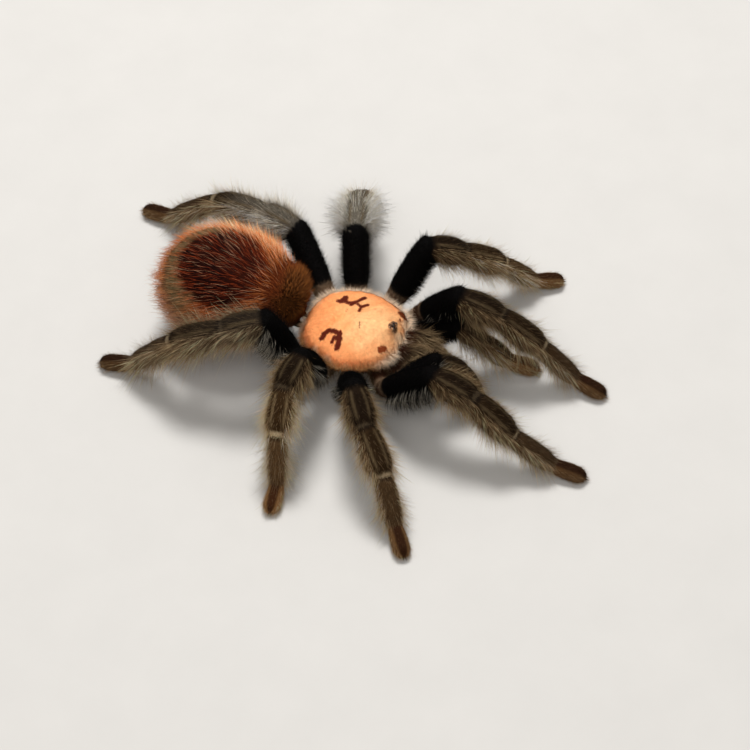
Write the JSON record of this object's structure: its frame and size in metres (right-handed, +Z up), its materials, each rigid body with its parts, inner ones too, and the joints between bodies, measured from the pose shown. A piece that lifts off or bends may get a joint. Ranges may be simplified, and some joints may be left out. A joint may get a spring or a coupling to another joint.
{
  "type": "tarantula",
  "caption": "Life-size still tarantula with a pale orange carapace, a red-haired abdomen and olive brown legs, standing on its feet.",
  "frame": {"origin": "on the floor, under the middle of the spider's outline seen from above", "axes": "+Z up; the spider faces -Y along its longest extent; its left side is +X"},
  "size_m": [0.1038, 0.1272, 0.0279],
  "materials": {
    "carapace_felt": "short dense peach-orange velvet with a cream fringe and dark red-brown marks",
    "femur_velvet": "matt black velvet",
    "leg_hair": "olive brown hair with grey tips and bare stripes along the top",
    "abdomen_hair": "long red-brown hairs over near-black velvet",
    "underside_hair": "short dark brown hair",
    "fang_horn": "smooth black horn",
    "eye_glass": "polished black lenses on a dark mound"
  },
  "bodies": {
    "root": {"abdomen": "abdomen_hair", "carapace": "carapace_felt", "chelicera_l": "leg_hair", "chelicera_r": "leg_hair", "eye_mound": "eye_glass", "fang_l": "fang_horn", "fang_r": "fang_horn", "leg_l1_femur": "femur_velvet", "leg_l1_metatarsus": "leg_hair", "leg_l1_patella": "leg_hair", "leg_l1_tarsus": "leg_hair", "leg_l1_tibia": "leg_hair", "leg_l2_femur": "femur_velvet", "leg_l2_metatarsus": "leg_hair", "leg_l2_patella": "leg_hair", "leg_l2_tarsus": "leg_hair", "leg_l2_tibia": "leg_hair", "leg_l3_femur": "femur_velvet", "leg_l3_metatarsus": "leg_hair", "leg_l3_patella": "leg_hair", "leg_l3_tarsus": "leg_hair", "leg_l3_tibia": "leg_hair", "leg_l4_femur": "femur_velvet", "leg_l4_metatarsus": "leg_hair", "leg_l4_patella": "leg_hair", "leg_l4_tarsus": "leg_hair", "leg_l4_tibia": "leg_hair", "leg_r1_femur": "femur_velvet", "leg_r1_metatarsus": "leg_hair", "leg_r1_patella": "leg_hair", "leg_r1_tarsus": "leg_hair", "leg_r1_tibia": "leg_hair", "leg_r2_femur": "femur_velvet", "leg_r2_metatarsus": "leg_hair", "leg_r2_patella": "leg_hair", "leg_r2_tarsus": "leg_hair", "leg_r2_tibia": "leg_hair", "leg_r3_femur": "femur_velvet", "leg_r3_metatarsus": "leg_hair", "leg_r3_patella": "leg_hair", "leg_r3_tarsus": "leg_hair", "leg_r3_tibia": "leg_hair", "leg_r4_femur": "femur_velvet", "leg_r4_metatarsus": "leg_hair", "leg_r4_patella": "leg_hair", "leg_r4_tarsus": "leg_hair", "leg_r4_tibia": "leg_hair", "palp_l_femur": "femur_velvet", "palp_l_patella": "leg_hair", "palp_l_tarsus": "leg_hair", "palp_l_tibia": "leg_hair", "palp_r_femur": "femur_velvet", "palp_r_patella": "leg_hair", "palp_r_tarsus": "leg_hair", "palp_r_tibia": "leg_hair", "pedicel": "underside_hair", "spinneret_l": "abdomen_hair", "spinneret_r": "abdomen_hair", "sternum": "underside_hair"}
  },
  "joints": []
}
